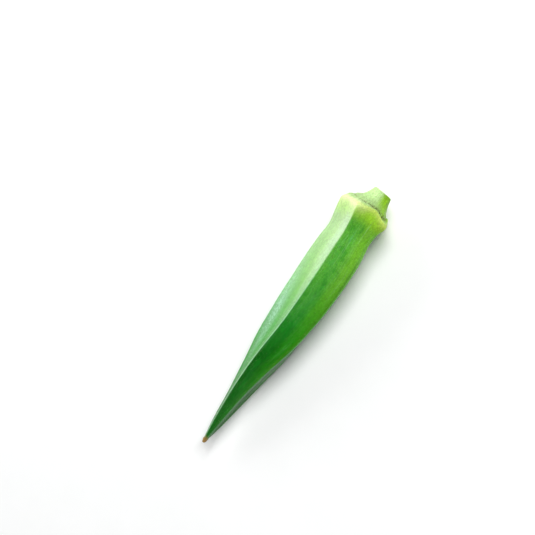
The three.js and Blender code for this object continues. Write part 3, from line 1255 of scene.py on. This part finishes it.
@dataclass(frozen=True)
class PodSkin:
    """The skin as a piece."""

    form: PodForm
    skin: Skin
    finish: SkinFinish
    name: str = "okra_pod_skin"
    lit_side_angle: float = math.radians(-50)  # the angle round the pod that faces the key light; what follows it is painted light and shade, with some grown colour
    face_wax_and_sheen: tuple[float, ...] = (0.0, 0.2, 0.0, 0.3, 1.0)  # how thick the waxy coat and its painted sheen are on each face, most on the face turned to the key light
    wax_and_sheen_edge: float = 0.93  # from here across to the ridge, two faces' waxy coat and sheen meet

    def build(self) -> Object:
        """Makes the skin's mesh, with the attributes that its material reads, and dresses it.

        The attribute grown is where a point was before the pod bent and tapered: its place
        along, and a circle of the belly's radius round. So what follows it runs lengthwise and
        draws together towards the tip.

        Returns:
            The skin's object.
        """
        skin, form = self.skin, self.form
        shape = skin.points.shape[:2]
        ends = np.stack([skin.points[0].mean(0), skin.points[-1].mean(0)])
        vertices = np.concatenate([skin.points.reshape(-1, 3), ends])
        piece = new_object(self.name, vertices, ring_faces(*shape), self.finish.material())

        round_belly = form.belly_radius * np.sin(skin.angle), form.belly_radius * np.cos(skin.angle)
        grown = np.stack([np.broadcast_to(row, shape) for row in (skin.place, *round_belly)], -1)
        middles = np.array([(skin.place[0, 0], 0.0, 0.0), (skin.place[-1, 0], 0.0, 0.0)])
        set_attribute(piece, "grown", np.concatenate([grown.reshape(-1, 3), middles]))
        sector = form.sector(skin.angle)
        numbers = {
            "away": skin.away,
            "knob": np.cos(sector.from_ridge * form.ridges / 2) ** 2,
            "across": sector.across,
            # painted light and shade follow the side turned to the key light
            "lit_side": 0.5 + 0.5 * np.cos(skin.angle - self.lit_side_angle),
            "wax_and_sheen": self._wax_and_sheen(sector),
            "cut": (skin.share > form.cut_share).astype(float),
        }
        for name, values in numbers.items():
            grid = np.broadcast_to(values, shape)
            set_attribute(piece, name, np.append(grid.ravel(), (grid[0].mean(), grid[-1].mean())))
        return piece

    def _wax_and_sheen(self, sector: Sector) -> Array:
        """How thick the waxy coat and its painted sheen are at each angle: each face's own, met
        half way at the ridges.

        Args:
            sector: The faces that the angles belong to, and their places across.

        Returns:
            The thickness, 0 to 1.
        """
        own = np.take(self.face_wax_and_sheen, sector.face)
        beside = (sector.face + np.sign(sector.across).astype(int)) % self.form.ridges
        meeting = smoothstep(np.abs(sector.across), self.wax_and_sheen_edge, 1.0) / 2
        return own + (np.take(self.face_wax_and_sheen, beside) - own) * meeting


@dataclass(frozen=True)
class Down:
    """The short hairs on the skin, each a closed three-sided needle sunk into it."""

    form: PodForm
    skin: Skin
    finish: DownFinish
    name: str = "okra_pod_down"
    seed: int = 21
    count: int = 12000
    shortest: float = 0.18
    longest: float = 0.5
    half_width: float = 0.016
    sunk: float = 0.04
    lean: float = 0.45  # how far hairs stray from upright, against their length
    face_down: float = 0.35  # how downy the faces are
    ridge_down: float = 1.6  # how much downier the ridges are
    ridge_half_width: float = 1.3
    tip_span: Span = (1.0, 8.0)  # places between which the down starts
    stalk_span: Span = (114.0, 117.5)  # and ends
    lowest: float = 0.4  # no hair grows nearer the floor than this

    def build(self) -> Object:
        """Makes the down, denser on the ridges, with no hair under the pod or past its box.

        Returns:
            The down's object.
        """
        draw = np.random.default_rng(self.seed)
        row, column = self._roots(draw)
        root, normal = self.skin.sample(row, column)
        along = draw.normal(size=(len(root), 3))
        along -= (along * normal).sum(1, keepdims=True) * normal
        way = unit(normal + self.lean * unit(along))
        length = draw.uniform(self.shortest, self.longest, (len(root), 1)) * MM
        apex = root + way * length

        low, high = (np.array(corner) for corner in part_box(NODE))
        kept = ((apex > low) & (apex < high)).all(1) & (root[:, 2] > self.lowest * MM)
        root, apex, way = root[kept], apex[kept], way[kept]
        side = unit(np.cross(way, np.roll(way, 1, 1)))
        other = np.cross(way, side)
        base = root - way * self.sunk * MM
        corners = [
            base + self.half_width * MM * (math.cos(turn) * side + math.sin(turn) * other)
            for turn in 2 * math.pi * np.arange(3) / 3
        ]
        vertices = np.stack([*corners, apex], 1).reshape(-1, 3)
        first = 4 * np.arange(len(root))[:, None]
        faces = [first + np.array(f) for f in ((0, 1, 3), (1, 2, 3), (2, 0, 3), (0, 2, 1))]
        piece = new_object(self.name, vertices, faces, self.finish.material())
        set_attribute(piece, "up", np.tile((0.0, 0.0, 0.0, 1.0), len(root)))
        return piece

    def _roots(self, draw: np.random.Generator) -> tuple[Array, Array]:
        """Draws where the hairs grow: a cell's chance is its area times how downy it is.

        Args:
            draw: The seeded source of random numbers.

        Returns:
            Places among the rings and the columns, with fractions.
        """
        points = self.skin.points
        wide = np.linalg.norm(np.roll(points, -1, 1) - points, axis=2)[:-1]
        long = np.linalg.norm(points[1:] - points[:-1], axis=2)
        place = self.skin.place[:-1]
        ridge = bump(self.skin.away[:-1], self.ridge_half_width)
        downy = self.face_down + self.ridge_down * ridge
        downy = downy * smoothstep(place, *self.tip_span)
        downy = downy * (1 - smoothstep(place, *self.stalk_span))
        chance = (wide * long * downy).ravel()
        cell = np.searchsorted(np.cumsum(chance) / chance.sum(), draw.random(self.count))
        row, column = np.divmod(cell, points.shape[1])
        return row + draw.random(self.count), column + draw.random(self.count)


@dataclass(frozen=True)
class ScarFibres:
    """Dry slivers of the calyx's foot, lying in the scar ring."""

    form: PodForm
    skin: Skin
    finish: FibreFinish
    name: str = "okra_pod_scar_fibres"
    seed: int = 31
    count: int = 46
    steps: int = 9
    shortest: float = 0.05  # length as an angle round the stalk
    longest: float = 0.26
    half_width: float = 0.11
    half_height: float = 0.05
    slightest: float = 0.5  # share of that size that the slightest sliver has
    thinnest: float = 0.02  # square of the share of its thickness that a sliver's end keeps
    wander: float = 0.22
    reach: float = 2.0  # rings this near the scar may carry slivers
    proud: float = 0.03

    def build(self) -> Object:
        """Makes the slivers: a flat four-sided section carried along the ring.

        A sliver's thickness is the square root of 4 t (1 - t), with t going from 0 to 1 along
        it, so it is thin at its ends.

        Returns:
            The fibres' object.
        """
        draw = np.random.default_rng(self.seed)
        t = np.linspace(0.0, 1.0, self.steps)[None, :]
        start = draw.uniform(0, 2 * math.pi, (self.count, 1))
        angle = start + t * draw.uniform(self.shortest, self.longest, (self.count, 1))
        offset = draw.normal(0, self.wander, (self.count, 1))
        slant = draw.normal(0, self.wander, (self.count, 1))
        row, column = self._places(offset + (t - 0.5) * slant, angle)
        middle, normal = self.skin.sample(row, column)
        middle = middle + normal * self.proud * MM
        side = np.cross(normal, unit(np.gradient(middle, axis=1)))
        thick = np.sqrt(np.clip(4 * t * (1 - t), self.thinnest, None))[..., None]
        thick = thick * draw.uniform(self.slightest, 1.0, (self.count, 1, 1))
        wide, high = self.half_width * MM * thick * side, self.half_height * MM * thick * normal
        corners = [middle + corner for corner in (wide, high, -wide, -high)]
        vertices = np.stack(corners, 2).reshape(-1, 3)
        return new_object(self.name, vertices, self._faces(), self.finish.material())

    def _places(self, stray: Array, angle: Array) -> tuple[Array, Array]:
        """Finds places on the skin's grid.

        Args:
            stray: Distances past the scar, along the pod.
            angle: Angles round it.

        Returns:
            Places among the rings and the columns, with fractions.
        """
        place, turns = self.skin.place[:, 0], self.skin.angle[0]
        near = np.abs(place - self.form.scar) < self.reach
        row = np.interp(self.form.scar + stray, place[near], np.arange(len(place))[near])
        turns = np.append(turns, turns[0] + 2 * math.pi)
        turn = np.mod(angle - turns[0], 2 * math.pi) + turns[0]
        return row, np.interp(turn, turns, np.arange(len(turns)))

    def _faces(self) -> list[Array]:
        """The quads along each sliver, and the quads that close its ends."""
        index = np.arange(self.count * self.steps * 4).reshape(self.count, self.steps, 4)
        return [quads(index, np.roll(index, -1, 2)), index[:, 0, ::-1], index[:, -1]]


# ---- Studio ----


class Side(Enum):
    """Where a softbox stands, as a direction from the pod."""

    KEY = (-0.03, 0.96, 0.27)
    TOP = (0.6, -0.05, 1.0)


@dataclass(frozen=True)
class Softbox:
    """A flat, even, white light that faces the pod and that the camera doesn't see."""

    name: str
    side: Side
    distance: float
    width: float
    height: float
    watts: float

    def build(self, target: Vector) -> None:
        """Puts the light in the scene.

        Args:
            target: The point that it faces.
        """
        data = bpy.data.lights.new(self.name, "AREA")
        data.shape = "RECTANGLE"
        data.size, data.size_y = self.width, self.height
        data.energy = self.watts
        lamp = bpy.data.objects.new(self.name, data)
        way = Vector(self.side.value).normalized()
        lamp.location = target + way * self.distance
        lamp.rotation_euler = way.to_track_quat("Z", "Y").to_euler()
        lamp.visible_camera = False
        bpy.context.scene.collection.objects.link(lamp)


@dataclass(frozen=True)
class Viewpoint:
    """The camera, over the pod and a little to one side, with the pod slanting in its frame."""

    side: float = math.radians(20.5)  # from straight down, towards -Y
    roll: float = math.radians(54.5)  # slant of the pod's length in the frame
    pixels: float = 535.0
    scale: float = 2.58  # pixels to a millimetre at the pod
    shoulder_pixel: tuple[float, float] = (364.6, 212.3)
    lens: float = 85.0
    sensor: float = 36.0
    clip: Span = (0.01, 20.0)  # metres

    def build(self, shoulder: Vector) -> None:
        """Puts the camera in the scene, so that the shoulder falls on its place in the frame.

        Args:
            shoulder: The middle of the pod's shoulder, in metres.
        """
        back = Vector((0.0, -math.sin(self.side), math.cos(self.side)))
        along = Vector((1.0, 0.0, 0.0))
        across = back.cross(along)
        right = along * math.cos(self.roll) - across * math.sin(self.roll)
        up = along * math.sin(self.roll) + across * math.cos(self.roll)
        middle = self.pixels / 2
        pixel = MM / self.scale
        off_x = (self.shoulder_pixel[0] - middle) * pixel
        off_y = (middle - self.shoulder_pixel[1]) * pixel
        aim = shoulder - right * off_x - up * off_y
        place = aim + back * (self.pixels * pixel * self.lens / self.sensor)

        data = bpy.data.cameras.new("camera")
        data.lens, data.sensor_width = self.lens, self.sensor
        data.clip_start, data.clip_end = self.clip
        camera = bpy.data.objects.new("camera", data)
        turn = Matrix((right, up, back)).transposed()
        camera.matrix_world = Matrix.Translation(place) @ turn.to_4x4()
        bpy.context.scene.collection.objects.link(camera)
        bpy.context.scene.camera = camera


@dataclass(frozen=True)
class Studio:
    """The floor and the soft lights, in metres."""

    finish: FloorFinish = FloorFinish()
    floor_size: float = 4.0
    floor_drop: float = 0.02 * MM
    grid: int = 40
    world: Colour = (0.95, 0.98, 1.0)
    world_strength: float = 0.14
    boxes: tuple[Softbox, ...] = (
        Softbox("key", Side.KEY, distance=0.8, width=0.9, height=0.45, watts=4.95),
        Softbox("top", Side.TOP, distance=1.0, width=0.8, height=0.8, watts=12.5),
    )

    def build(self) -> None:
        """Puts the studio round the pod, and sets how light becomes picture."""
        low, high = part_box(NODE)
        target = (Vector(low) + Vector(high)) / 2
        for box in self.boxes:
            box.build(target)
        self._floor()
        world = bpy.data.worlds.new("studio")
        world.use_nodes = True
        background = world.node_tree.nodes["Background"]
        background.inputs["Color"].default_value = (*self.world, 1.0)
        background.inputs["Strength"].default_value = self.world_strength
        scene = bpy.context.scene
        scene.world = world
        scene.view_settings.view_transform = "Standard"
        scene.view_settings.look = "None"

    def _floor(self) -> None:
        """Lays the floor, a level grid just under the pod."""
        steps = np.linspace(-self.floor_size / 2, self.floor_size / 2, self.grid + 1)
        x, y = np.meshgrid(steps, steps, indexing="ij")
        vertices = np.stack([x, y, np.full_like(x, -self.floor_drop)], -1).reshape(-1, 3)
        index = np.arange(x.size).reshape(x.shape)
        faces = [quads(index[:, 1:], index[:, :-1])]
        floor = new_object("floor", vertices, faces, self.finish.material())
        floor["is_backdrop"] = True


# ---- The whole scene ----


def write_sizes() -> None:
    boxes = {"cad": CAD_BOX, "visual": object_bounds()}
    plain = {name: [list(corner) for corner in box] for name, box in boxes.items()}


def main() -> None:
    """Builds the camera, the pod's pieces and the studio."""
    logging.basicConfig(level=logging.INFO, format="%(name)s: %(message)s")
    form = PodForm()
    skin = SkinBuilder(form, Relief(form)).build()
    Viewpoint().build(skin.middle(form.shoulder))
    makers = (
        PodSkin(form, skin, SkinFinish(form)),
        Down(form, skin, DownFinish()),
        ScarFibres(form, skin, FibreFinish()),
    )
    for maker in makers:
        piece = maker.build()
        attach(piece, BODY)
        log.info("%s: %d faces", piece.name, len(piece.data.polygons))
        if maker is makers[0]:
            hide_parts(NODE)
    Studio().build()
    write_sizes()


if __name__ == "__main__":
    main()
